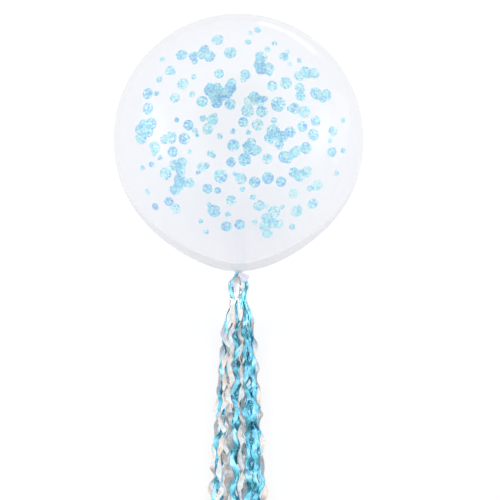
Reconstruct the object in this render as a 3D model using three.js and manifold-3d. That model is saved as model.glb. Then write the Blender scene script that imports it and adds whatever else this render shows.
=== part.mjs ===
// A giant clear balloon with a tassel of film streamers, lying on the floor.
// Millimetres, +Z up. The origin is the middle of the flat spot that the balloon rests on.
// The balloon's neck points down towards -Y, and the tassel lies out along -Y.
import * as THREE from 'three';
import { mergeVertices } from 'three/addons/utils/BufferGeometryUtils.js';
import Module from 'manifold-3d';

const wasm = await Module();
wasm.setup();

// Balloon: an inflated form, so its lower half keeps its proportions as shares of the radius.
const balloonDiameter = 914;
const neckDip = THREE.MathUtils.degToRad(38); // how far the axis points below level at the neck
const lowerStretch = 1.065; // middle to neck end, as a share of the radius
const lowerTaper = 0.21; // how much the lower half draws in towards the neck
const taperPower = 4; // a higher power keeps the taper nearer to the neck
const restDepth = 4; // how far the resting weight flattens the skin
const balloonSides = 44;
const upperBands = 10;
const lowerBands = 11;

// Neck and its tail, which stick out of the tie towards +X and away from the streamers.
const neckRadius = 7.5;
const neckOverlap = 1; // how far the neck reaches past the balloon's axis
const neckRootRadius = 15;
const neckRootDepth = 12;
const tailLength = 30;
const tailSideways = 34;
const tailOutwards = 26;
const tailMouthRadius = 10.5;
const tailLip = 1.4;
const tailBend = 0.3;
const tailSteps = 5;
const neckSides = 14;

// Tie: a film strip wound round the neck and the gathered heads of the streamers.
const tieLength = 10;
const tieWall = 2;
const tieCorner = 3;
const tieStandoff = 4;
const tieGap = 0.8;

// Streamers: film ribbons that curl as they twist, each in a lane of its own.
const streamerLength = 1150;
const streamerWidth = 20.5;
const streamerCurl = 4.4;
const filmThickness = 0.8;
const streamerTurn = 165; // length of one full twist
const turnSpread = 30;
const turnBeat = 1.7; // radians, spreads the lengths of the twists
const startBeat = 2.4; // radians from one streamer's first direction to the next one's
const leftHandEvery = 3; // one streamer in so many twists the other way
const laneGap = 1.8;
const gatherPitch = 3.3; // from streamer to streamer inside the tie
const touchGap = 0.6;
const tailClearance = 1.6;
const streamerSteps = 42;
const stepEase = 1.15; // above 1, the steps are shorter near the tie

// Rows from the floor up. B is a blue streamer, P a pearl one, from -X to +X.
const rows = ['PBPBPBBP', 'BPPBPBB', 'PPBPBB'];
// Steps left off each streamer's end, in the same order.
const endSteps = [[2, 0, 1, 0, 2, 1, 0, 1], [1, 0, 2, 1, 0, 0, 2], [3, 18, 1, 0, 2, 1]];

// How far the lanes have opened, as distance from the tie and share of the full spacing.
const headReach = 24;
const shoulderReach = 100;
const bendReach = 178;
const waistReach = 475;
const skirtReach = 845;
const fanOut = [
  [0, 0], [headReach, 0.15], [shoulderReach, 0.26], [bendReach, 0.52],
  [waistReach, 0.78], [skirtReach, 1], [streamerLength, 1.1],
];
// The drop from the tie to the floor.
const leaveReach = 115;
const landRun = 265;
const landReach = 110;

const film = (color, roughness) =>
  new THREE.MeshStandardMaterial({ color, roughness, metalness: 0.8, side: THREE.DoubleSide });
const blueFilm = film(0x5bc3ee, 0.25);
const pearlFilm = film(0xe4e9ec, 0.3);
const clearLatex = new THREE.MeshStandardMaterial({ color: 0xe9eef4, roughness: 0.1, metalness: 0 });

const radius = balloonDiameter / 2;
const neckReach = radius * lowerStretch;
const along = new THREE.Vector3(0, -Math.cos(neckDip), -Math.sin(neckDip));
const outward = new THREE.Vector3(0, -Math.sin(neckDip), Math.cos(neckDip));
const sideways = new THREE.Vector3(1, 0, 0);

// The balloon's profile, as a radius and a distance along the axis, from crown to neck end.
function balloonOutline() {
  const outline = [];
  for (let i = 0; i <= upperBands; i++) {
    const angle = (-Math.PI / 2) * (1 - i / upperBands);
    outline.push(new THREE.Vector2(radius * Math.cos(angle), radius * Math.sin(angle)));
  }
  for (let i = 1; i <= lowerBands; i++) {
    const rise = Math.sin((Math.PI / 2) * (i / lowerBands));
    const girth = Math.sqrt(1 - rise * rise) * (1 - lowerTaper * rise ** taperPower);
    outline.push(new THREE.Vector2(radius * girth, neckReach * rise));
  }
  outline[0].x = 0;
  outline.at(-1).x = 0;
  return outline;
}

// The balloon's middle, so that its lowest point goes restDepth below the floor at the origin.
function balloonMiddle(outline) {
  const depth = (point) => point.y * Math.sin(neckDip) + point.x * Math.cos(neckDip);
  const lowest = outline.reduce((best, point) => (depth(point) > depth(best) ? point : best));
  const shift = lowest.y * Math.cos(neckDip) - lowest.x * Math.sin(neckDip);
  return new THREE.Vector3(0, shift, depth(lowest) - restDepth);
}

const outline = balloonOutline();
const middle = balloonMiddle(outline);

// A place given by its distance along the balloon's axis, sideways, and out from the axis.
function onAxis(distance, side = 0, out = 0) {
  const place = middle.clone().addScaledVector(along, distance);
  return place.addScaledVector(sideways, side).addScaledVector(outward, out);
}

// A closed body through rings of equally many points, with a flat cap on each end. Opposite
// faces are split along matching diagonals, so that a thin body stays sound where it twists.
function bodyThroughRings(rings) {
  const count = rings[0].length;
  const positions = rings.flat().flatMap((point) => point.toArray());
  const indices = [];
  for (let k = 0; k + 1 < rings.length; k++) {
    for (let i = 0; i < count; i++) {
      const a = k * count + i;
      const b = k * count + ((i + 1) % count);
      if (i < count / 2) indices.push(a, b, b + count, a, b + count, a + count);
      else indices.push(a, b, a + count, b, b + count, a + count);
    }
  }
  const last = (rings.length - 1) * count;
  for (let i = 1; i + 1 < count; i++) {
    indices.push(0, i + 1, i, last, last + i, last + i + 1);
  }
  const geometry = new THREE.BufferGeometry();
  geometry.setAttribute('position', new THREE.Float32BufferAttribute(positions, 3));
  geometry.setIndex(indices);
  geometry.computeVertexNormals();
  return geometry;
}

function toSolid(geometry) {
  const bare = geometry.clone();
  bare.deleteAttribute('normal');
  bare.deleteAttribute('uv');
  const merged = mergeVertices(bare, 1e-3);
  const vertProperties = Float32Array.from(merged.attributes.position.array);
  const triVerts = Uint32Array.from(merged.index.array);
  return new wasm.Manifold(new wasm.Mesh({ numProp: 3, vertProperties, triVerts }));
}

function toGeometry(solid) {
  const mesh = solid.getMesh();
  const geometry = new THREE.BufferGeometry();
  geometry.setAttribute('position', new THREE.Float32BufferAttribute(mesh.vertProperties, 3));
  geometry.setIndex(new THREE.Uint32BufferAttribute(mesh.triVerts, 1));
  geometry.computeVertexNormals();
  return geometry;
}

// The inflated body stands on +Y as a lathe and is turned so that +Y runs along the axis.
function inflatedBody() {
  const body = new THREE.LatheGeometry(outline, balloonSides);
  const turn = new THREE.Matrix4().makeBasis(sideways, along, sideways.clone().cross(along));
  return body.applyMatrix4(turn.setPosition(middle));
}

// The neck lies beside the axis, to leave room for the streamers.
const neckOut = neckRadius - neckOverlap;
const tieStart = neckReach + tieStandoff;
const tieEnd = tieStart + tieLength;

// A round ring of points about a place, square to a direction.
function ringAbout(place, direction, ringRadius) {
  const out = outward.clone().projectOnPlane(direction).normalize();
  const side = direction.clone().cross(out);
  return Array.from({ length: neckSides }, (_, i) => {
    const angle = (2 * Math.PI * i) / neckSides;
    return place.clone().addScaledVector(out, ringRadius * Math.cos(angle))
      .addScaledVector(side, ringRadius * Math.sin(angle));
  });
}

// The neck leaves the body, goes straight through the tie, and ends in its flared tail.
function neckAndTail() {
  const straight = [
    [neckReach - neckRootDepth, neckRootRadius],
    [neckReach, (neckRootRadius + neckRadius) / 2],
    [tieStart - tieGap, neckRadius],
  ].map(([distance, ringRadius]) => ringAbout(onAxis(distance, 0, neckOut), along, ringRadius));
  const bend = new THREE.CubicBezierCurve3(
    onAxis(tieEnd, 0, neckOut),
    onAxis(tieEnd + tailLength * tailBend, 0, neckOut),
    onAxis(tieEnd + tailLength * tailBend, 0, neckOut + tailOutwards * tailBend),
    onAxis(tieEnd + tailLength, tailSideways, neckOut + tailOutwards),
  );
  const tail = Array.from({ length: tailSteps + 1 }, (_, k) => {
    const share = k / tailSteps;
    const flare = neckRadius + (tailMouthRadius - neckRadius) * share * share;
    return ringAbout(bend.getPointAt(share), bend.getTangentAt(share), flare);
  });
  const mouth = bend.getPointAt(1);
  const lipDirection = bend.getTangentAt(1);
  const lipRing = (step, grow) => ringAbout(
    mouth.clone().addScaledVector(lipDirection, step), lipDirection, tailMouthRadius + grow,
  );
  const lip = [lipRing(tailLip / 2, tailLip), lipRing(1.5 * tailLip, tailLip), lipRing(2 * tailLip, 0)];
  return bodyThroughRings([...straight, ...tail, ...lip]);
}

// The half of space under the floor, as far as the balloon reaches.
function underFloor() {
  const block = new THREE.BoxGeometry(balloonDiameter, balloonDiameter, radius);
  return block.translate(0, middle.y, -radius / 2);
}

function balloon() {
  const whole = toSolid(inflatedBody()).add(toSolid(neckAndTail()));
  return toGeometry(whole.subtract(toSolid(underFloor())));
}

// Each streamer turns inside a round lane of this radius.
const curlReach = Math.hypot(streamerWidth / 2, streamerCurl);
const openRadius = curlReach + filmThickness / 2;
const openPitch = 2 * openRadius + laneGap;

function lanePitch(distance) {
  const fromTie = distance - tieLength;
  const next = fanOut.findIndex(([reach]) => reach > fromTie);
  if (next === 0) return gatherPitch;
  const [farReach, farShare] = fanOut.at(next);
  const [nearReach, nearShare] = fanOut.at(next - 1);
  const share = next < 0 ? farShare
    : THREE.MathUtils.mapLinear(fromTie, nearReach, farReach, nearShare, farShare);
  return gatherPitch + (openPitch - gatherPitch) * share;
}

const laneRadius = (distance) => Math.min(openRadius, (lanePitch(distance) - touchGap) / 2);

// Rows lie in the hollows of the row below.
function rowRise(distance) {
  return Math.sqrt((2 * laneRadius(distance) + touchGap) ** 2 - (lanePitch(distance) / 2) ** 2);
}

const bundleDepth = 2 * laneRadius(0) + (rows.length - 1) * rowRise(0);
const bundleUnder = neckOut - neckRadius - tailClearance - bundleDepth;
const longestRow = Math.max(...rows.map((row) => row.length));
const bundleHalfWidth = ((longestRow - 1) / 2) * gatherPitch + laneRadius(0);

// The line that the tassel's underside follows: from the tie down to the floor, then level.
const leave = onAxis(tieStart + filmThickness, 0, bundleUnder);
const land = new THREE.Vector3(0, leave.y - landRun, 0);
const drop = new THREE.CubicBezierCurve3(
  leave,
  leave.clone().addScaledVector(along, leaveReach),
  land.clone().add(new THREE.Vector3(0, landReach, 0)),
  land,
);
const dropLength = drop.getLength();

// The place and the upward direction of the tassel's underside at a distance from its start.
function undersideAt(distance) {
  if (distance >= dropLength) {
    const place = land.clone().add(new THREE.Vector3(0, dropLength - distance, 0));
    return { place, up: new THREE.Vector3(0, 0, 1) };
  }
  const share = distance / dropLength;
  const up = sideways.clone().cross(drop.getTangentAt(share)).normalize().negate();
  return { place: drop.getPointAt(share), up };
}

// The first stop is the head inside the tie, the second is where the tie ends.
function stopAt(k) {
  if (k === 0) return 0;
  const share = ((k - 1) / (streamerSteps - 1)) ** stepEase;
  return THREE.MathUtils.lerp(tieLength, streamerLength, share);
}

// One ribbon: its flat section turns round the lane's middle line as it goes.
function streamer(row, lane, number) {
  const start = number * startBeat;
  const turn = streamerTurn + turnSpread * Math.sin(number * turnBeat);
  const handed = number % leftHandEvery === 0 ? -1 : 1;
  const laneShift = lane - (rows[row].length - 1) / 2;
  const stops = streamerSteps - endSteps[row][lane];
  const rings = [];
  for (let k = 0; k <= stops; k++) {
    const distance = stopAt(k);
    const { place, up } = undersideAt(distance);
    const reach = laneRadius(distance);
    const size = (reach - filmThickness / 2) / curlReach;
    const angle = start + (handed * 2 * Math.PI * distance) / turn;
    const flat = sideways.clone().multiplyScalar(Math.cos(angle)).addScaledVector(up, Math.sin(angle));
    const face = sideways.clone().multiplyScalar(-Math.sin(angle)).addScaledVector(up, Math.cos(angle));
    place.addScaledVector(sideways, laneShift * lanePitch(distance));
    place.addScaledVector(up, reach + row * rowRise(distance));
    place.addScaledVector(face, streamerCurl * size);
    const half = (streamerWidth / 2) * size;
    const corner = (side, skin) => place.clone().addScaledVector(flat, side * half)
      .addScaledVector(face, (skin * filmThickness) / 2);
    rings.push([corner(-1, -1), corner(1, -1), corner(1, 1), corner(-1, 1)]);
  }
  return bodyThroughRings(rings);
}

// An outline with round corners round the tie's opening, grown by an amount.
function tieOutline(shape, grow) {
  const halfWidth = bundleHalfWidth + tieGap + grow;
  const low = bundleUnder - tieGap - grow;
  const high = neckOut + neckRadius + tieGap + grow;
  const corner = tieCorner + grow;
  shape.absarc(halfWidth - corner, high - corner, corner, 0, Math.PI / 2);
  shape.absarc(corner - halfWidth, high - corner, corner, Math.PI / 2, Math.PI);
  shape.absarc(corner - halfWidth, low + corner, corner, Math.PI, 1.5 * Math.PI);
  shape.absarc(halfWidth - corner, low + corner, corner, 1.5 * Math.PI, 2 * Math.PI);
  shape.closePath();
  return shape;
}

function tasselTie() {
  const band = tieOutline(new THREE.Shape(), tieWall);
  band.holes.push(tieOutline(new THREE.Path(), 0));
  const ring = new THREE.ExtrudeGeometry(band, {
    depth: tieLength, bevelEnabled: false, curveSegments: 4,
  });
  const turn = new THREE.Matrix4().makeBasis(sideways, outward, sideways.clone().cross(outward));
  return ring.applyMatrix4(turn.setPosition(onAxis(tieStart)));
}

const confettiBalloon = new THREE.Group();

function addPiece(name, geometry, material) {
  const piece = new THREE.Mesh(geometry, material);
  piece.name = name;
  confettiBalloon.add(piece);
}

addPiece('balloon', balloon(), clearLatex);
addPiece('tassel_tie', tasselTie(), blueFilm);

let blueCount = 0;
let pearlCount = 0;
rows.forEach((colours, row) => {
  [...colours].forEach((colour, lane) => {
    const blue = colour === 'B';
    const name = blue ? `blue_streamer_${++blueCount}` : `pearl_streamer_${++pearlCount}`;
    const geometry = streamer(row, lane, blueCount + pearlCount);
    addPiece(name, geometry, blue ? blueFilm : pearlFilm);
  });
});

export default confettiBalloon;
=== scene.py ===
import math
import random

import bmesh
import bpy
from mathutils import Matrix, Vector
from mathutils.bvhtree import BVHTree


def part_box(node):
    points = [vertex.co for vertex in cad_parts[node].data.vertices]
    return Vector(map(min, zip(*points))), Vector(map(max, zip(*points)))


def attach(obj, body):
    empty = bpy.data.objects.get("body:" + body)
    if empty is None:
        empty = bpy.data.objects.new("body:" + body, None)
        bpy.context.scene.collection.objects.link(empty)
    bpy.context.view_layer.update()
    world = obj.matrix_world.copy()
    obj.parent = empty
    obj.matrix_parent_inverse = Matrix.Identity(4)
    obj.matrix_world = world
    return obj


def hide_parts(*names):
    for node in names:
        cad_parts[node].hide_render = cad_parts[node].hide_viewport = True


# Giant clear balloon full of paper confetti, lying on the floor with its tassel of film streamers.
# Metres, +Z up. The neck points down towards -Y and the tassel lies out along -Y.

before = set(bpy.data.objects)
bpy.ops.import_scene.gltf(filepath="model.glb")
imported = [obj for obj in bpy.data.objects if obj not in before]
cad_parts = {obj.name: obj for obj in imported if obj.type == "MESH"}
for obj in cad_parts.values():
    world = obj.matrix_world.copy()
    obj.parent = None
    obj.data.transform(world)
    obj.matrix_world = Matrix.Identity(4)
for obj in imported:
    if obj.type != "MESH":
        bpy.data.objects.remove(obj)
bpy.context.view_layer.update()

# The balloon's place comes from the frame: its upper half is a plain sphere.
lowest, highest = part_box("balloon")
radius = (highest.x - lowest.x) / 2
middle = Vector((0.0, highest.y - radius, highest.z - radius))
neckDip = math.radians(38)
along = Vector((0, -math.cos(neckDip), -math.sin(neckDip)))
outward = Vector((0, -math.sin(neckDip), math.cos(neckDip)))
sideways = Vector((1, 0, 0))


# A place given from the balloon's middle: towards the neck, sideways and towards the open side.
def onAxis(distance, side=0.0, out=0.0):
    return middle + along * distance + sideways * side + outward * out


# The balloon's proportions, as in the source.
body = {
    "lowerStretch": 1.065,
    "lowerTaper": 0.21,
    "taperPower": 4,
    "sides": 224,
    "upperBands": 80,
    "lowerBands": 110,
    "neckRadius": 0.0075,
    "neckOut": 0.0065,
    "neckJoin": 0.021,  # girth at which the body's skin goes over into the neck
    "tieStandoff": 0.004,
    "tieLength": 0.010,
    "throat": 0.88,  # girth of the neck under the tie, as a share of its own
    "tailStart": 0.0005,
    "tailLength": 0.0225,
    "tailSideways": 0.031,
    "tailOutwards": 0.019,
    "tailMouth": 0.0122,
    "tailFlare": 1.5,
    "tailSteps": 18,
    "pleats": 7,
    "pleatStart": 0.8,
    "pleatDepth": 0.16,
    "neckPleat": 0.05,
    "throatPleat": 0.35,  # share of their depth that the pleats have where the tail starts
    "mouthPleat": 0.8,  # and round its mouth
    "smallPleats": 17,
    "smallPleatStart": 2.0,
    "smallPleatShare": 0.4,
    "lip": 0.0011,
    "lipSteps": 7,
    "mouthDepth": 0.015,
    "floorGap": 0.0008,  # how far the flat spot is above the floor
}
neckReach = radius * body["lowerStretch"]
tieStart = neckReach + body["tieStandoff"]
tieEnd = tieStart + body["tieLength"]


def newMaterial(name):
    material = bpy.data.materials.new(name)
    material.use_nodes = True
    tree = material.node_tree
    tree.nodes.clear()
    output = tree.nodes.new("ShaderNodeOutputMaterial")
    return material, tree, output


def addNode(tree, kind, **values):
    node = tree.nodes.new(kind)
    for name, value in values.items():
        if hasattr(node, name):
            setattr(node, name, value)
        else:
            node.inputs[name.replace("_", " ")].default_value = value
    return node


def mathNode(tree, operation, first, second=None):
    node = tree.nodes.new("ShaderNodeMath")
    node.operation = operation
    for socket, value in zip(node.inputs, (first, second)):
        if value is None:
            continue
        if isinstance(value, (int, float)):
            socket.default_value = value
        else:
            tree.links.new(value, socket)
    return node.outputs[0]


def rampNode(tree, factor, stops):
    node = tree.nodes.new("ShaderNodeValToRGB")
    ramp = node.color_ramp
    while len(ramp.elements) < len(stops):
        ramp.elements.new(1.0)
    for element, (place, colour) in zip(ramp.elements, stops):
        element.position = place
        element.color = (*colour, 1.0)
    tree.links.new(factor, node.inputs["Fac"])
    return node.outputs["Color"]


def rangeNode(tree, value, fromMin, fromMax, toMin=0.0, toMax=1.0):
    node = addNode(tree, "ShaderNodeMapRange", interpolation_type="SMOOTHSTEP")
    for name, number in (("From Min", fromMin), ("From Max", fromMax), ("To Min", toMin), ("To Max", toMax)):
        node.inputs[name].default_value = number
    tree.links.new(value, node.inputs["Value"])
    return node.outputs["Result"]


def noiseNode(tree, place, scale, detail, roughness):
    node = addNode(tree, "ShaderNodeTexNoise", Scale=scale, Detail=detail, Roughness=roughness)
    tree.links.new(place, node.inputs["Vector"])
    return node.outputs["Fac"]


def mixNode(tree, share, first, second):
    node = tree.nodes.new("ShaderNodeMixShader")
    if isinstance(share, float):
        node.inputs[0].default_value = share
    else:
        tree.links.new(share, node.inputs[0])
    tree.links.new(first.outputs[0], node.inputs[1])
    tree.links.new(second.outputs[0], node.inputs[2])
    return node


# Ranges towards the neck are in shares of the radius, from the balloon's middle.
skin = {
    "milk": (0.82, 0.77, 0.79),  # colour of the latex's faint haze
    "paintedRimShade": (0.71, 0.70, 0.72),  # painted shade: a darker copy of the haze colour, where the wall near the neck is seen edge on
    "neckMilk": (0.80, 0.78, 0.87),  # the unstretched latex of the neck is whiter
    "haze": 0.038,  # share of the light that one wall stops, seen square on
    "leastSlant": 0.28,  # the haze grows no thicker than it is at this slant
    "lowHaze": 1.0,  # how much more it stops near the neck, where it is less stretched
    "lowRange": (-0.1, 1.0),
    "edgeHazeAndShade": 0.40,  # extra haze where the wall near the neck is seen edge on, in the darker painted-shade colour
    "edgeRange": (0.0, 0.6),
    "edgeSoftness": 0.012,
    "swellRange": (0.15, 1.2),
    "swellSlant": (0.09, 0.415),  # slant at which the rim ends, at both ends of that range
    "neckRange": (-0.006, 0.004),  # metres from the end of the skin
    "neckHaze": 0.86,
    "tint": (0.933, 0.945, 0.964),
    "gloss": 0.043,  # share of the light that a wall mirrors, seen square on
    "edgeGloss": 0.45,  # and how much more, seen edge on
    "edgeGlossRise": 5.0,
    "shine": 0.125,  # roughness of the gloss
    "insideGloss": 0.12,  # the inside is dusted with talc, so it hardly shines
}


def latexMaterial():
    material, tree, output = newMaterial("clearLatex")
    place = addNode(tree, "ShaderNodeTexCoord").outputs["Object"]
    fromMiddle = addNode(tree, "ShaderNodeVectorMath", operation="SUBTRACT")
    tree.links.new(place, fromMiddle.inputs[0])
    fromMiddle.inputs[1].default_value = middle
    downAxis = addNode(tree, "ShaderNodeVectorMath", operation="DOT_PRODUCT")
    tree.links.new(fromMiddle.outputs[0], downAxis.inputs[0])
    downAxis.inputs[1].default_value = along
    toNeck = downAxis.outputs["Value"]
    low, edgeShare, swell = (
        rangeNode(tree, toNeck, skin[name][0] * radius, skin[name][1] * radius, *results)
        for name, results in (("lowRange", ()), ("edgeRange", ()), ("swellRange", skin["swellSlant"])))
    neckStart, neckFull = skin["neckRange"]
    neckShare = rangeNode(tree, toNeck, neckReach + neckStart, neckReach + neckFull, 0.0, skin["neckHaze"])
    facing = addNode(tree, "ShaderNodeLayerWeight", Blend=0.5).outputs["Facing"]
    # The wall is crossed at a slant near the rim, so there its haze is thicker.
    slant = mathNode(tree, "SUBTRACT", 1.0, facing)
    # Where the lower part swells out past the round of the upper one, a darker rim is painted: thicker haze
    # in a darker colour, painted shade along the lower rim.
    pastSwell = mathNode(tree, "SUBTRACT", slant, swell)
    edge = rangeNode(tree, pastSwell, -skin["edgeSoftness"], skin["edgeSoftness"], skin["edgeHazeAndShade"], 0.0)
    thickness = mathNode(tree, "ADD", mathNode(tree, "MULTIPLY", low, skin["lowHaze"]), 1.0)
    depth = mathNode(tree, "DIVIDE", -skin["haze"], mathNode(tree, "MAXIMUM", slant, skin["leastSlant"]))
    passed = mathNode(tree, "EXPONENT", mathNode(tree, "MULTIPLY", depth, thickness))
    rim = mathNode(tree, "MULTIPLY", edge, edgeShare)
    stopped = mathNode(tree, "ADD", mathNode(tree, "SUBTRACT", 1.0, passed), rim)
    stopped = mathNode(tree, "MAXIMUM", stopped, neckShare)
    clear = addNode(tree, "ShaderNodeBsdfTransparent", Color=(*skin["tint"], 1))
    milk = addNode(tree, "ShaderNodeBsdfDiffuse")
    # The rim's haze colour is a darker copy of the milk: painted shade.
    milkTone = rampNode(tree, mathNode(tree, "MAXIMUM", rim, neckShare), [
        (0.0, skin["milk"]),
        (0.3, skin["paintedRimShade"]),
        (skin["edgeHazeAndShade"], skin["paintedRimShade"]),
        (0.8, skin["neckMilk"]),
    ])
    tree.links.new(milkTone, milk.inputs["Color"])
    haze = mixNode(tree, stopped, clear, milk)
    edgeMirror = mathNode(tree, "POWER", facing, skin["edgeGlossRise"])
    mirror = mathNode(tree, "ADD", mathNode(tree, "MULTIPLY", edgeMirror, skin["edgeGloss"]), skin["gloss"])
    inside = addNode(tree, "ShaderNodeNewGeometry").outputs["Backfacing"]
    dusted = mathNode(tree, "MULTIPLY", inside, 1 - skin["insideGloss"])
    mirror = mathNode(tree, "MULTIPLY", mirror, mathNode(tree, "SUBTRACT", 1.0, dusted))
    gloss = addNode(tree, "ShaderNodeBsdfGlossy", Roughness=skin["shine"])
    tree.links.new(mixNode(tree, mirror, haze, gloss).outputs[0], output.inputs["Surface"])
    return material


filmLook = {
    "patchDetail": 2.0,
    "patchRoughness": 0.45,
    "creases": (70.0, 2.0, 0.5),  # scale, detail and roughness of the noise
    "creaseHeight": 0.0012,
    "creaseStrength": 0.045,
    "creaseDulling": 0.12,  # how much rougher the film is where it is creased
    "creaseRange": (0.3, 0.7),
    "coat": 0.5,
    "coatRoughness": 0.1,
}


def filmMaterial(name, stops, grain, metal, roughness, seeThrough):
    material, tree, output = newMaterial(name)
    place = addNode(tree, "ShaderNodeTexCoord").outputs["UV"]
    patches = noiseNode(tree, place, grain, filmLook["patchDetail"], filmLook["patchRoughness"])
    colour = rampNode(tree, patches, stops)
    creases = noiseNode(tree, place, *filmLook["creases"])
    bump = addNode(tree, "ShaderNodeBump", Distance=filmLook["creaseHeight"])
    bump.inputs["Strength"].default_value = filmLook["creaseStrength"]
    tree.links.new(creases, bump.inputs["Height"])
    sheet = addNode(tree, "ShaderNodeBsdfPrincipled", Metallic=metal)
    sheet.inputs["Coat Weight"].default_value = filmLook["coat"]
    sheet.inputs["Coat Roughness"].default_value = filmLook["coatRoughness"]
    smoothest, roughest = filmLook["creaseRange"]
    rough = rampNode(tree, creases, [
        (smoothest, (roughness,) * 3),
        (roughest, (roughness + filmLook["creaseDulling"],) * 3),
    ])
    tree.links.new(rough, sheet.inputs["Roughness"])
    tree.links.new(colour, sheet.inputs["Base Color"])
    tree.links.new(bump.outputs[0], sheet.inputs["Normal"])
    # A little light comes through the film from behind.
    through = addNode(tree, "ShaderNodeBsdfTranslucent")
    tree.links.new(colour, through.inputs["Color"])
    tree.links.new(mixNode(tree, seeThrough, sheet, through).outputs[0], output.inputs["Surface"])
    return material


# Each noise has its scale, detail and roughness.
tissueLook = {
    "blots": (150.0, 3.0, 0.62),
    "batches": (16.0, 1.0, 0.5),
    "batchShare": 0.35,  # how much the shade differs from one disc to another
    "tears": (135.0, 2.0, 0.6),
    "tearRange": (0.590, 0.605),
    "seeThrough": 0.45,
}


def confettiMaterial():
    material, tree, output = newMaterial("tissueConfetti")
    place = addNode(tree, "ShaderNodeTexCoord").outputs["Object"]
    kinds = ("blots", "batches", "tears")
    blots, batches, tears = (noiseNode(tree, place, *tissueLook[kind]) for kind in kinds)
    # The paper is mottled cyan and periwinkle, and some of it is darker than the rest; its white patches are
    # painted glints.
    tone = mathNode(tree, "MULTIPLY", mathNode(tree, "SUBTRACT", batches, 0.5), tissueLook["batchShare"])
    colour = rampNode(tree, mathNode(tree, "ADD", blots, tone), [
        (0.38, (0.44, 0.66, 0.93)),
        (0.450, (0.47, 0.70, 0.94)),
        (0.470, (0.52, 0.94, 0.97)),
        (0.560, (0.60, 0.97, 0.97)),
        (0.600, (0.93, 0.98, 0.97)),
    ])
    front = addNode(tree, "ShaderNodeBsdfDiffuse")
    through = addNode(tree, "ShaderNodeBsdfTranslucent")
    tree.links.new(colour, front.inputs["Color"])
    tree.links.new(colour, through.inputs["Color"])
    tissue = mixNode(tree, tissueLook["seeThrough"], front, through)
    # Small torn holes in the tissue.
    hole = rangeNode(tree, tears, *tissueLook["tearRange"])
    air = addNode(tree, "ShaderNodeBsdfTransparent", Color=(1, 1, 1, 1))
    tree.links.new(mixNode(tree, hole, tissue, air).outputs[0], output.inputs["Surface"])
    return material


clearLatex = latexMaterial()
# The blue film's own colour, mottled at random; its darkest teal and lightest cyan patches are painted shade
# and painted highlight, standing in for dark and bright reflections.
blueFilm = filmMaterial("blueFilm", [
    (0.36, (0.04, 0.28, 0.34)),
    (0.45, (0.11, 0.49, 0.62)),
    (0.54, (0.20, 0.63, 0.87)),
    (0.63, (0.44, 0.80, 0.96)),
], grain=18.0, metal=0.82, roughness=0.2, seeThrough=0.06)
# The pearl film is white, mottled at random with painted sheen: the pink, lilac and pale cyan patches stand
# in for its iridescence and for reflections of the blue film, and the beige ones are painted shading.
pearlFilm = filmMaterial("pearlFilm", [
    (0.36, (0.97, 0.82, 0.77)),
    (0.45, (0.98, 0.91, 0.86)),
    (0.51, (0.99, 0.98, 0.97)),
    (0.58, (0.80, 0.95, 0.98)),
    (0.64, (0.93, 0.89, 0.98)),
], grain=24.0, metal=0.12, roughness=0.22, seeThrough=0.26)
tissueConfetti = confettiMaterial()
print("materials made")


def newPiece(name, shape, material, smooth=True):
    mesh = bpy.data.meshes.new(name)
    shape.to_mesh(mesh)
    shape.free()
    piece = bpy.data.objects.new(name, mesh)
    bpy.context.scene.collection.objects.link(piece)
    mesh.materials.append(material)
    for face in mesh.polygons:
        face.use_smooth = smooth
    return piece


def thicken(piece, name, thickness):
    layer = piece.modifiers.new(name, "SOLIDIFY")
    layer.thickness = thickness
    layer.offset = 0


def curveAt(points, t):
    a, b, c, d = points
    s = 1 - t
    place = a * s ** 3 + b * 3 * s * s * t + c * 3 * s * t * t + d * t ** 3
    way = (b - a) * 3 * s * s + (c - b) * 6 * s * t + (d - c) * 3 * t * t
    return place, way.normalized()


# Balloon skin, neck and tail

# Rings between the skin's end and the tie: distance past that end, girth and share of the shift outwards.
neckRings = ((0.0001, 0.0175, 0.3), (0.0008, 0.0135, 0.7), (0.0018, 0.0105, 0.9), (0.0032, 0.0084, 1))
# Where the tail bends: shares of its length, of its way sideways and of its way outwards.
tailBends = ((0.18, 0.06, 0.50), (0.52, 0.38, 0.76))
# Rings inside its mouth: depth and girth.
mouthRings = ((0.004, 0.0090), (0.009, 0.0070), (0.014, 0.0050))


def girthAt(rise):
    taper = 1 - body["lowerTaper"] * rise ** body["taperPower"]
    return radius * math.sqrt(max(0.0, 1 - rise * rise)) * taper


def pleatAt(angle):
    large = math.cos(body["pleats"] * angle + body["pleatStart"])
    small = math.cos(body["smallPleats"] * angle + body["smallPleatStart"])
    return large + body["smallPleatShare"] * small


def ringAbout(shape, centre, direction, reach, pleat=0.0):
    out = (outward - direction * outward.dot(direction)).normalized()
    side = out.cross(direction)
    ring = []
    for i in range(body["sides"]):
        angle = 2 * math.pi * i / body["sides"]
        girth = reach * (1 + pleat * pleatAt(angle))
        place = centre + out * (girth * math.cos(angle)) + side * (girth * math.sin(angle))
        ring.append(shape.verts.new(place))
    return ring


def fan(shape, ring, heart):
    for i, point in enumerate(ring):
        shape.faces.new((point, ring[(i + 1) % len(ring)], heart))


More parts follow.
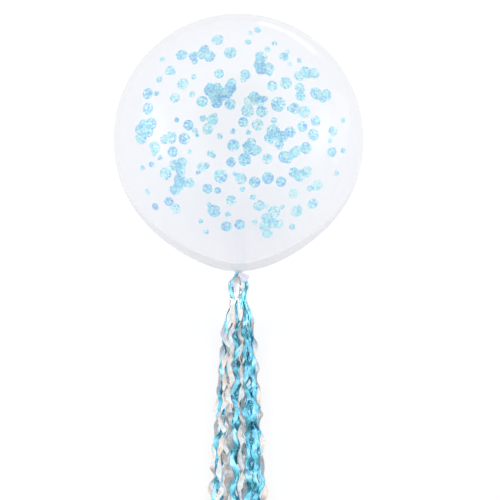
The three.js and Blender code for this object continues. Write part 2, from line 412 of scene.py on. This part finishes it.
# The skin from its crown to its neck, through the tie and out to the mouth of the tail.
def balloonShape():
    shape = bmesh.new()
    rings = []
    for i in range(1, body["upperBands"] + 1):
        angle = -math.pi / 2 * (1 - i / body["upperBands"])
        rings.append(ringAbout(shape, onAxis(radius * math.sin(angle)), along, radius * math.cos(angle)))
    for i in range(1, body["lowerBands"] + 1):
        rise = math.sin(math.pi / 2 * i / body["lowerBands"])
        if girthAt(rise) < body["neckJoin"]:
            break
        rings.append(ringAbout(shape, onAxis(neckReach * rise), along, girthAt(rise)))
    for distance, reach, share in neckRings:
        centre = onAxis(neckReach + distance, 0, body["neckOut"] * share)
        rings.append(ringAbout(shape, centre, along, reach, body["neckPleat"] * share))
    length, aside, outwards = body["tailLength"], body["tailSideways"], body["tailOutwards"]
    tailStart = onAxis(tieStart + body["tailStart"], 0, body["neckOut"])
    tailEnd = onAxis(tieStart + length, aside, body["neckOut"] + outwards)
    bends = [onAxis(tieStart + length * down, aside * across, body["neckOut"] + outwards * up)
             for down, across, up in tailBends]
    throat = body["neckRadius"] * body["throat"]
    for i in range(1, body["tailSteps"] + 1):
        t = i / body["tailSteps"]
        centre, way = curveAt((tailStart, *bends, tailEnd), t)
        reach = throat + (body["tailMouth"] - throat) * t ** body["tailFlare"]
        pleat = body["throatPleat"] + (1 - body["throatPleat"]) * t
        rings.append(ringAbout(shape, centre, way, reach, body["pleatDepth"] * pleat))
    pleat = body["pleatDepth"] * body["mouthPleat"]
    for i in range(1, body["lipSteps"] + 1):
        angle = math.pi * i / body["lipSteps"]
        roll = body["lip"] * (1 - math.cos(angle)) / 2
        reach = body["tailMouth"] + body["lip"] * math.sin(angle) - roll
        rings.append(ringAbout(shape, tailEnd + way * roll, way, reach, pleat))
    for depth, reach in mouthRings:
        rings.append(ringAbout(shape, tailEnd - way * depth, way, reach, pleat))
    fan(shape, rings[0], shape.verts.new(onAxis(-radius)))
    for near, far in zip(rings, rings[1:]):
        for i, point in enumerate(near):
            j = (i + 1) % len(near)
            shape.faces.new((point, near[j], far[j], far[i]))
    fan(shape, rings[-1], shape.verts.new(tailEnd - way * body["mouthDepth"]))
    for point in shape.verts:
        point.co.z = max(point.co.z, body["floorGap"])
    bmesh.ops.recalc_face_normals(shape, faces=shape.faces)
    return shape


skinShape = balloonShape()
wallTree = BVHTree.FromBMesh(skinShape)
balloonSkin = newPiece("balloonSkin", skinShape, clearLatex)
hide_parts("balloon")
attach(balloonSkin, "root")
print("balloon skin made")


# Streamers

# Lengths are in metres and angles in radians. A beat is the distance in which a wave repeats.
film = {
    "length": 1.150,
    "width": 0.0205,
    "thickness": 0.0003,
    "laneGap": 0.0018,
    "gatherPitch": 0.0033,
    "touchGap": 0.0006,
    "tailClearance": 0.0016,
    "stopEase": 1.15,
    "stops": 42,
    "across": 6,
    "step": 0.004,
    "turn": 0.165,  # distance in which a streamer twists once round
    "turnSpread": 0.030,
    "turnPace": 1.7,  # steps from one streamer to the next, for the turn and for where it starts
    "startPace": 2.4,
    "leftHandEvery": 3,
    "rock": (0.6, 0.85, 0.75),  # how far a row's streamers rock to each side; some turn right round
    "curl": 0.0044,
    "cup": 0.0022,  # how far the film is bowed from edge to edge
    "cupSize": 1.2,
    "openReach": 0.03,  # distance in which a film opens from where it is gathered
    "flatHead": 0.40,  # how flat and wide the film lies where it is gathered
    "freeStart": 0.012,  # where the waves start, and the distance in which they grow
    "freeReach": 0.10,
    "sway": 0.0062,
    "swaySize": 0.3,
    "swayBeat": 0.106,
    "swayVary": (0.88, 1.14),  # a streamer's own share of the beat is drawn from this range
    "rowBeat": (0.88, 0.14),  # share of the beat in the lowest row, and how much more in each row above
    "rowStart": 2.1,
    "laneStart": 0.6,
    "startSpread": 0.9,
    "calmBeat": 0.34,  # the sway swells and calms down again along a streamer
    "calmLevel": 0.80,
    "calmSwing": 0.42,
    "wiggle": 0.0011,
    "wiggleBeat": 0.041,
    "wiggleVary": (0.8, 1.3),
    "lift": 0.0036,
    "liftBeat": 0.080,
    "liftVary": (0.85, 1.2),
    "kinks": 3,
    "kinkBeat": (0.05, 0.11),
    "kinkTurn": 0.16,
    "ripple": 0.00018,
    "rippleBeat": 0.021,
    "rippleSkew": 5,
    "headWiden": 0.42,  # how much the heads bulge just under the tie
    "headPlace": 0.040,
    "headReach": 0.030,
    "coverHead": 1.0,  # the uppermost pearl films lie flat, a little higher and to the side
    "coverTurn": 0.25,
    "coverStart": 0.05,
    "coverReach": 0.05,
    "coverLift": 0.0014,
    "coverLaneLift": 0.6,
    "coverAside": 0.009,
    "grainShift": 0.37,  # so that no two streamers have the same patches
    "seed": 1000,
}
anyStart = (0, 6.28)
rows = ["PBPBPBBP", "BPPBPBB", "PPBPBB"]
# How many steps short of the full length each streamer ends.
endStops = [[2, 0, 1, 0, 2, 1, 0, 1], [1, 0, 2, 1, 0, 0, 2], [3, 18, 1, 0, 2, 1]]
# How far the lanes have opened, as distance from the tie and share of the full spacing.
fanOut = [(0, 0), (0.024, 0.15), (0.100, 0.26), (0.178, 0.52), (0.475, 0.78), (0.845, 1), (1.150, 1.1)]
cadThickness = 0.0008
curlReach = math.hypot(film["width"] / 2, film["curl"])
openRadius = curlReach + cadThickness / 2
openPitch = 2 * openRadius + film["laneGap"]


def lanePitch(distance):
    fromTie = distance - body["tieLength"]
    if fromTie <= 0:
        return film["gatherPitch"]
    share = fanOut[-1][1]
    for (nearReach, nearShare), (farReach, farShare) in zip(fanOut, fanOut[1:]):
        if nearReach <= fromTie < farReach:
            share = nearShare + (farShare - nearShare) * (fromTie - nearReach) / (farReach - nearReach)
    return film["gatherPitch"] + (openPitch - film["gatherPitch"]) * share


def laneRadius(distance):
    return min(openRadius, (lanePitch(distance) - film["touchGap"]) / 2)


def rowRise(distance):
    return math.sqrt((2 * laneRadius(distance) + film["touchGap"]) ** 2 - (lanePitch(distance) / 2) ** 2)


bundleDepth = 2 * laneRadius(0) + (len(rows) - 1) * rowRise(0)
bundleUnder = body["neckOut"] - body["neckRadius"] - film["tailClearance"] - bundleDepth

# The tassel's underside: from the tie down to the floor on one curve, then flat along it.
drop = {
    "onFloor": 0.265,  # how far from the tie it lands
    "leaving": 0.115,
    "landing": 0.110,
    "steps": 200,
}
leave = onAxis(tieStart + cadThickness, 0, bundleUnder)
land = Vector((0, leave.y - drop["onFloor"], 0))
dropPoints = (leave, leave + along * drop["leaving"], land + Vector((0, drop["landing"], 0)), land)
dropTable = [(0.0, *curveAt(dropPoints, 0.0))]
for stop in range(1, drop["steps"] + 1):
    place, way = curveAt(dropPoints, stop / drop["steps"])
    dropTable.append((dropTable[-1][0] + (place - dropTable[-1][1]).length, place, way))
dropLength = dropTable[-1][0]


def undersideAt(distance):
    if distance >= dropLength:
        return land + Vector((0, dropLength - distance, 0)), Vector((0, 0, 1))
    for near, far in zip(dropTable, dropTable[1:]):
        if distance <= far[0]:
            share = (distance - near[0]) / (far[0] - near[0])
            way = near[2].lerp(far[2], share).normalized()
            return near[1].lerp(far[1], share), -sideways.cross(way)


def ease(value):
    value = min(1.0, max(0.0, value))
    return value * value * (3 - 2 * value)


def wave(distance, beat, start):
    return math.sin(2 * math.pi * distance / beat + start)


def streamer(row, lane, number, name, material):
    rnd = random.Random(film["seed"] + number)
    turn = film["turn"] + film["turnSpread"] * math.sin(number * film["turnPace"])
    handed = -1 if number % film["leftHandEvery"] == 0 else 1
    start = number * film["startPace"]
    rocks = row == 0 or number % film["leftHandEvery"] != 1
    laneShift = lane - (len(rows[row]) - 1) / 2
    stops = film["stops"] - endStops[row][lane]
    endShare = ((stops - 1) / (film["stops"] - 1)) ** film["stopEase"]
    length = body["tieLength"] + (film["length"] - body["tieLength"]) * endShare
    steps = round(length / film["step"])
    startSpread = rnd.uniform(-film["startSpread"], film["startSpread"])
    swayStart = row * film["rowStart"] + lane * film["laneStart"] + startSpread
    lowBeat, beatRise = film["rowBeat"]
    swayBeat = film["swayBeat"] * (lowBeat + beatRise * row) * rnd.uniform(*film["swayVary"])
    wiggleBeat = film["wiggleBeat"] * rnd.uniform(*film["wiggleVary"])
    liftStart = rnd.uniform(*anyStart)
    liftBeat = film["liftBeat"] * rnd.uniform(*film["liftVary"])
    kinks = [(rnd.uniform(*film["kinkBeat"]), rnd.uniform(*anyStart)) for _ in range(film["kinks"])]
    calmStart = rnd.uniform(*anyStart)
    covers = row == len(rows) - 1 and material is pearlFilm
    flatHead = film["coverHead"] if covers else film["flatHead"]
    shape = bmesh.new()
    bmesh.ops.create_grid(shape, x_segments=film["across"], y_segments=steps, size=0.5)
    uv = shape.loops.layers.uv.new("UVMap")
    for point in shape.verts:
        across, distance = point.co.x, (point.co.y + 0.5) * length
        place, up = undersideAt(distance)
        reach = laneRadius(distance)
        size = (reach - cadThickness / 2) / curlReach
        wide = size + (1 - size) * flatHead * ease(distance / film["openReach"])
        free = ease((distance - film["freeStart"]) / film["freeReach"])
        head = math.exp(-((distance - film["headPlace"]) / film["headReach"]) ** 2)
        kink = sum(wave(distance, beat, phase) for beat, phase in kinks)
        angle = start + handed * 2 * math.pi * distance / turn
        if rocks:
            angle = film["rock"][row] * math.sin(angle)
        if covers:
            turned = ease((distance - film["coverStart"]) / film["coverReach"])
            angle *= film["coverTurn"] + (1 - film["coverTurn"]) * turned
        angle += film["kinkTurn"] * free * kink
        sway = min(1.0, size + film["swaySize"]) * wave(distance, swayBeat, swayStart)
        calm = film["calmLevel"] + film["calmSwing"] * wave(distance, film["calmBeat"], calmStart)
        side = laneShift * lanePitch(distance) * (1 + film["headWiden"] * head)
        side += film["sway"] * free * sway * calm
        side += film["wiggle"] * free * size * wave(distance, wiggleBeat, liftStart)
        rise = reach + row * rowRise(distance)
        rise += film["lift"] * free * size * wave(distance, liftBeat, liftStart)
        if covers:
            rise += film["coverLift"] * (1 + film["coverLaneLift"] * lane) * head
            side += film["coverAside"] * head
        cup = film["cup"] * (4 * across * across - 0.5) * min(1, size * film["cupSize"])
        rippleStart = film["rippleSkew"] * across + kink
        ripple = film["ripple"] * free * wave(distance, film["rippleBeat"], rippleStart)
        bow = cup + film["curl"] * size + ripple
        half = film["width"] * across
        x = half * math.cos(angle) * wide - bow * math.sin(angle)
        y = half * math.sin(angle) * size + bow * math.cos(angle)
        point.co = place + sideways * (side + x) + up * (rise + y)
        point.co.z = max(point.co.z, film["thickness"])
    shape.verts.index_update()
    count = film["across"] + 1
    for face in shape.faces:
        for loop in face.loops:
            down, across = divmod(loop.vert.index, count)
            u = across / film["across"] * film["width"] + number * film["grainShift"]
            loop[uv].uv = (u, down * length / steps)
    piece = newPiece(name, shape, material)
    thicken(piece, "film", film["thickness"])
    return piece, length


colours = {"B": ("blue", blueFilm), "P": ("pearl", pearlFilm)}
counts = {"B": 0, "P": 0}
number = 0
for row, letters in enumerate(rows):
    for lane, letter in enumerate(letters):
        counts[letter] += 1
        number += 1
        colour, material = colours[letter]
        piece, length = streamer(row, lane, number, f"{colour}Streamer{counts[letter]}", material)
        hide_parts(f"{colour}_streamer_{counts[letter]}")
        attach(piece, "root")
print("streamers made", number)

# Confetti

# Places are as seen from the open side, in shares of the radius. The other lengths are in metres.
confetti = {
    "count": 184,
    "tries": 20000,
    "large": (0.0208, 0.0016),  # radius of the large discs and how much it varies
    "small": (0.0105, 0.0012),
    "smallShare": 0.21,
    "sides": 20,
    "rings": (0.5, 1.0),
    "thickness": 0.0003,
    "fromWall": 0.0012,
    "tiltRoom": 1.05,
    "layer": 0.0007,
    "layers": 7,
    "spread": 0.80,  # how far from the middle most of it clings
    "farSpread": 0.87,  # and the smallest discs
    "lowest": -0.78,
    "highest": 0.84,
    "clusterShare": 0.36,
    "clusterSpread": 0.042,
    "clusterRoom": 0.50,  # discs may overlap in a cluster, and keep apart elsewhere
    "room": 1.16,
    "wallSides": (1, 1, -1),  # two thirds of it cling to the wall of the open side
    "lean": 0.45,  # how far a disc turns from its wall towards the open side
    "leanVary": (0.7, 1.1),
    "bend": 0.05,
    "seed": 95,
}
# Where the confetti clings in clusters.
clusters = [(-0.13, 0.26), (0.09, 0.20), (0.19, 0.52), (0.08, -0.08), (0.32, 0.02), (-0.47, -0.28),
            (-0.51, -0.36), (0.42, -0.28), (0.24, -0.66), (-0.70, 0.05), (0.50, 0.40), (0.43, -0.12),
            (-0.30, 0.62), (0.62, 0.30)]


def confettiSpot(rnd, big):
    if big and rnd.random() < confetti["clusterShare"]:
        spot = Vector([value + rnd.gauss(0, confetti["clusterSpread"]) for value in rnd.choice(clusters)])
        return spot, confetti["clusterRoom"]
    reach = confetti["spread"] if big else confetti["farSpread"]
    angle, share = rnd.uniform(0, 2 * math.pi), math.sqrt(rnd.random())
    return Vector((math.cos(angle), math.sin(angle))) * (reach * share), confetti["room"]


def addDisc(shape, heartPlace, face, size, bend, bendWay):
    flat = face.orthogonal().normalized()
    across = face.cross(flat)
    heart = shape.verts.new(heartPlace)
    rings = []
    for share in confetti["rings"]:
        ring = []
        for i in range(confetti["sides"]):
            angle = 2 * math.pi * i / confetti["sides"]
            edge = size * share
            lift = bend * edge * math.cos(angle - bendWay) ** 2 * share
            place = heartPlace + (flat * math.cos(angle) + across * math.sin(angle)) * edge
            ring.append(shape.verts.new(place - face * abs(lift)))
        rings.append(ring)
    inner, outer = rings
    for i in range(confetti["sides"]):
        j = (i + 1) % confetti["sides"]
        shape.faces.new((heart, inner[i], inner[j]))
        shape.faces.new((inner[i], outer[i], outer[j], inner[j]))


def confettiShape():
    rnd = random.Random(confetti["seed"])
    shape = bmesh.new()
    placed = []
    tries = 0
    while len(placed) < confetti["count"] and tries < confetti["tries"]:
        tries += 1
        big = rnd.random() > confetti["smallShare"]
        spot, room = confettiSpot(rnd, big)
        if spot.length > confetti["farSpread"] or not confetti["lowest"] <= spot.y <= confetti["highest"]:
            continue
        size = rnd.gauss(*confetti["large"]) if big else rnd.gauss(*confetti["small"])
        if any((spot - other).length * radius < (size + otherSize) * room for other, otherSize in placed):
            continue
        placed.append((spot, size))
        side = rnd.choice(confetti["wallSides"])
        depth = math.sqrt(1 - spot.length_squared) * side
        direction = (sideways * spot.x - along * spot.y + outward * depth).normalized()
        wall = wallTree.ray_cast(middle, direction)[0]
        lean = confetti["lean"] * rnd.uniform(*confetti["leanVary"])
        face = direction.lerp(outward * side, lean).normalized()
        # A leaning disc is moved inwards until its edge is clear of the wall.
        tilt = math.sqrt(max(0.0, 1 - face.dot(direction) ** 2))
        inward = confetti["fromWall"] + size * tilt * confetti["tiltRoom"] + size * size / (2 * radius)
        inward += confetti["layer"] * (len(placed) % confetti["layers"])
        bend = rnd.uniform(-confetti["bend"], confetti["bend"])
        addDisc(shape, wall - direction * inward, face, size, bend, rnd.uniform(0, math.pi))
    print("confetti placed", len(placed))
    return shape


confettiPiece = newPiece("confetti", confettiShape(), tissueConfetti, smooth=False)
thicken(confettiPiece, "paper", confetti["thickness"])
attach(confettiPiece, "root")
print("confetti made")

# Tie: a film strip wound round the neck and the heads of the streamers

tie = {
    "turns": 6.4,
    "pointsPerTurn": 40,
    "pointsAcross": 4,
    "start": 1.1,
    "width": 0.0042,
    "thickness": 0.0003,
    "climb": 0.0034,  # how far the first turn creeps up the neck from the tie
    "endShare": 0.3,  # share of its width that the last turn stays short of the tie's end
    "closeIn": 0.80,  # share of the winding that draws in round the neck
    "closePower": 0.8,
    "neckGap": 0.0004,
    "bundleGap": 0.0008,
    "roundness": 4.0,
    "middleOut": 0.3,
    "bulge": 0.0007,
    "lean": 0.12,
    "ripple": 0.0003,
    "ripplePace": (2, 7),
    "ripples": 3,
    "alongRipple": 2,
    "patchStep": 0.003,
    "seed": 5,
}
bundleHalfWidth = (len(rows[0]) - 1) / 2 * film["gatherPitch"] + laneRadius(0)
looseEnd = {
    "width": 0.0165,
    "steps": 36,
    "pointsAcross": 7,
    "tilt": 0.35,
    "tiltSwing": 0.75,
    "tiltHalfTurns": 1.6,
    "tiltStart": -0.5,
    "bowl": 0.0016,
    "ripple": 0.0004,
    "rippleAcross": 9,
    "rippleStep": 0.5,
}
# The film's loose end comes down from the first turn over the left of the tassel:
# distance from the neck end, sideways and outwards, and how much of its width is open.
looseWay = [(0.0006, 0.002, 0.0150, 0.20), (0.0080, -0.004, 0.0190, 0.42), (0.0260, -0.019, 0.0190, 0.85),
            (0.0480, -0.0285, 0.0160, 1.0), (0.0720, -0.0290, 0.0130, 0.95), (0.0900, -0.0215, 0.0110, 0.8),
            (0.1040, -0.0120, 0.0060, 0.6)]


# How far the winding is from the tie's middle, for an angle from +X towards the open side.
def tieOutline(angle):
    halfWidth = bundleHalfWidth + tie["bundleGap"]
    low = bundleUnder - tie["bundleGap"]
    high = body["neckOut"] + body["neckRadius"] + tie["neckGap"]
    halfHeight, centre = (high - low) / 2, (high + low) / 2
    x, y = math.cos(angle), math.sin(angle)
    power = tie["roundness"]
    reach = (abs(x / halfWidth) ** power + abs(y / halfHeight) ** power) ** (-1 / power)
    return x * reach, centre + y * reach


def addStrip(shape, uv, strips, width):
    for i, (near, far) in enumerate(zip(strips, strips[1:])):
        for k in range(len(near) - 1):
            face = shape.faces.new((near[k], near[k + 1], far[k + 1], far[k]))
            for loop, (u, v) in zip(face.loops, ((k, i), (k + 1, i), (k + 1, i + 1), (k, i + 1))):
                loop[uv].uv = (u / (len(near) - 1) * width, v * tie["patchStep"])


def addWinding(shape, uv):
    rnd = random.Random(tie["seed"])
    count = int(tie["turns"] * tie["pointsPerTurn"])
    wobble = [(rnd.uniform(*anyStart), rnd.uniform(*tie["ripplePace"])) for _ in range(tie["ripples"])]
    neckRound = body["neckRadius"] + tie["neckGap"]
    middleOut = body["neckOut"] * tie["middleOut"]
    strips = []
    for i in range(count + 1):
        share = i / count
        angle = 2 * math.pi * tie["turns"] * share + tie["start"]
        opened = ease(share / tie["closeIn"]) ** tie["closePower"]
        side, out = tieOutline(angle)
        neckSide = math.cos(angle) * neckRound
        neckHigh = body["neckOut"] + math.sin(angle) * neckRound
        side, out = neckSide + (side - neckSide) * opened, neckHigh + (out - neckHigh) * opened
        off = Vector((side, out - middleOut))
        reach = body["tieLength"] + tie["climb"] - tie["width"] * tie["endShare"]
        place = tieStart - tie["climb"] + reach * share
        ripple = sum(math.sin(pace * angle + phase) for phase, pace in wobble) * tie["ripple"]
        row = []
        for k in range(tie["pointsAcross"]):
            edge = k / (tie["pointsAcross"] - 1)
            across = (edge - 0.5) * tie["width"]
            bulge = tie["bulge"] * (1 - (2 * edge - 1) ** 2)
            spot = off * (1 + (bulge + ripple + tie["lean"] * across) / off.length)
            down = place + across + ripple * tie["alongRipple"]
            row.append(shape.verts.new(onAxis(down, spot.x, middleOut + spot.y)))
        strips.append(row)
    addStrip(shape, uv, strips, tie["width"])


# A place on the smooth curve (Catmull-Rom) through every stop of the loose end's way.
def looseAt(t):
    k = min(int(t), len(looseWay) - 2)
    stops = (looseWay[max(k - 1, 0)], looseWay[k], looseWay[k + 1], looseWay[min(k + 2, len(looseWay) - 1)])
    s = t - k
    return [0.5 * (2 * b + (c - a) * s + (2 * a - 5 * b + 4 * c - d) * s * s
                   + (3 * b - a - 3 * c + d) * s ** 3) for a, b, c, d in zip(*stops)]


def addLooseEnd(shape, uv):
    strips = []
    for i in range(looseEnd["steps"] + 1):
        share = i / looseEnd["steps"]
        down, side, out, opened = looseAt(share * (len(looseWay) - 1))
        half = looseEnd["width"] * opened / 2
        swing = math.sin(math.pi * share * looseEnd["tiltHalfTurns"] + looseEnd["tiltStart"])
        tilt = looseEnd["tilt"] + looseEnd["tiltSwing"] * swing
        row = []
        for k in range(looseEnd["pointsAcross"]):
            across = 2 * k / (looseEnd["pointsAcross"] - 1) - 1
            phase = looseEnd["rippleAcross"] * across + i * looseEnd["rippleStep"]
            bowl = looseEnd["bowl"] * (1 - across * across) * opened + looseEnd["ripple"] * math.sin(phase)
            x = side + across * half * math.cos(tilt)
            y = out + across * half * math.sin(tilt) + bowl
            row.append(shape.verts.new(onAxis(neckReach + down, x, y)))
        strips.append(row)
    addStrip(shape, uv, strips, looseEnd["width"])


def tieShape():
    shape = bmesh.new()
    uv = shape.loops.layers.uv.new("UVMap")
    addWinding(shape, uv)
    addLooseEnd(shape, uv)
    return shape


tiePiece = newPiece("tasselTie", tieShape(), blueFilm)
thicken(tiePiece, "film", tie["thickness"])
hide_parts("tassel_tie")
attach(tiePiece, "root")
print("tie made")

# Floor, lights and camera

studio = {
    "floorSize": 14,
    "floorPlace": (0, -0.4, 0),
    "floorTone": 0.34,
    "floorRoughness": 0.8,
    "floorSheen": 0.1,
    "floorGlow": 0.66,
    "openingWay": (0, -0.38, 0.925),
    "openingRange": (0.66, 0.94),  # how near to that way the opening starts and is at its darkest
    "openingLight": (1.62, 0.20),  # the studio's light outside and inside the opening
    "rightRange": (0.90, 1.0),
    "rightGlow": 2.1,
    "leftRange": (0.86, 1.0),
    "leftGlow": 2.4,
    "glowRise": (-0.10, 0.16),  # heights between which the walls' glow fades in
}


# The floor is a light table, which glows a little, so that little shadow shows.
def floorMaterial():
    material, tree, output = newMaterial("paleFloor")
    paint = addNode(tree, "ShaderNodeBsdfPrincipled", Roughness=studio["floorRoughness"])
    paint.inputs["Base Color"].default_value = (*(studio["floorTone"],) * 3, 1)
    paint.inputs["Specular IOR Level"].default_value = studio["floorSheen"]
    paint.inputs["Emission Color"].default_value = (1, 1, 1, 1)
    paint.inputs["Emission Strength"].default_value = studio["floorGlow"]
    tree.links.new(paint.outputs[0], output.inputs["Surface"])
    return material


bpy.ops.mesh.primitive_plane_add(size=studio["floorSize"], location=studio["floorPlace"])
floor = bpy.context.object
floor.name = "floor"
floor.data.materials.append(floorMaterial())

world = bpy.data.worlds.new("paleStudio")
bpy.context.scene.world = world
world.use_nodes = True
sky = world.node_tree
allRound = sky.nodes["Background"]
way = addNode(sky, "ShaderNodeTexCoord").outputs["Generated"]
parts = addNode(sky, "ShaderNodeSeparateXYZ")
sky.links.new(way, parts.inputs[0])
tone = rampNode(sky, parts.outputs["Z"], [
    (0.0, (0.70, 0.72, 0.74)),
    (0.40, (0.94, 0.95, 0.96)),
    (1.0, (1.0, 1.0, 1.0)),
])
sky.links.new(tone, allRound.inputs["Color"])
# The studio is white all round but for a dark opening before the tassel's end.
opening = addNode(sky, "ShaderNodeVectorMath", operation="DOT_PRODUCT")
sky.links.new(way, opening.inputs[0])
opening.inputs[1].default_value = studio["openingWay"]
strength = rangeNode(sky, opening.outputs["Value"], *studio["openingRange"], *studio["openingLight"])
sky.links.new(strength, allRound.inputs["Strength"])
# Its left and right walls are lit softly.
glow = addNode(sky, "ShaderNodeBackground", Color=(1, 1, 1, 1))
toLeft = mathNode(sky, "MULTIPLY", parts.outputs["X"], -1.0)
onRight = rangeNode(sky, parts.outputs["X"], *studio["rightRange"], 0.0, studio["rightGlow"])
onLeft = rangeNode(sky, toLeft, *studio["leftRange"], 0.0, studio["leftGlow"])
aboveFloor = rangeNode(sky, parts.outputs["Z"], *studio["glowRise"])
strength = mathNode(sky, "MULTIPLY", mathNode(sky, "ADD", onLeft, onRight), aboveFloor)
sky.links.new(strength, glow.inputs["Strength"])
bothWalls = sky.nodes.new("ShaderNodeAddShader")
sky.links.new(allRound.outputs[0], bothWalls.inputs[0])
sky.links.new(glow.outputs[0], bothWalls.inputs[1])
sky.links.new(bothWalls.outputs[0], sky.nodes["World Output"].inputs["Surface"])


def softbox(name, place, aim, width, height, power, spread=180):
    light = bpy.data.lights.new(name, "AREA")
    light.shape = "RECTANGLE"
    light.size = width
    light.size_y = height
    light.energy = power
    light.spread = math.radians(spread)
    lamp = bpy.data.objects.new(name, light)
    bpy.context.scene.collection.objects.link(lamp)
    lamp.location = place
    lamp.rotation_euler = (Vector(aim) - Vector(place)).to_track_quat("-Z", "Y").to_euler()


# The tassel's head has a small light of its own, in front of it and a little to the left.
tasselHead = onAxis(tieEnd + 0.09)
beforeHead = tasselHead + outward * 1.5 - sideways * 0.25
softbox("arcLight", place=(1.25, 3.3, 0.42), aim=(0, 0, 0.6), width=1.7, height=0.54, power=5)
softbox("rightLight", place=(1.9, 0.35, 0.36), aim=(0, 0.1, 0.5), width=1.5, height=0.7, power=2.5)
softbox("headLight", place=beforeHead, aim=tasselHead, width=0.1, height=0.1, power=0.03, spread=8)

# The camera looks at the balloon from the open side, square to its axis.
view = {
    "distance": 8.0,
    "perPixel": 0.914 / 249,  # metres
    "balloonX": 238.5,  # where the balloon's middle is in the picture, in pixels
    "balloonY": 138.9,
    "frameSide": 500,
    "sensor": 36.0,
    "farthest": 100,
}
camera = bpy.data.cameras.new("camera")
cameraPiece = bpy.data.objects.new("camera", camera)
bpy.context.scene.collection.objects.link(cameraPiece)
half = view["frameSide"] / 2
aim = middle + sideways * (half - view["balloonX"]) * view["perPixel"]
aim = aim + along * (half - view["balloonY"]) * view["perPixel"]
cameraPiece.matrix_world = Matrix((sideways, -along, outward)).transposed().to_4x4()
cameraPiece.location = aim + outward * view["distance"]
camera.sensor_width = view["sensor"]
camera.lens = view["distance"] * view["sensor"] / (view["frameSide"] * view["perPixel"])
camera.clip_end = view["farthest"]
bpy.context.scene.camera = cameraPiece
bpy.context.scene.view_settings.view_transform = "Standard"

print("scene made")
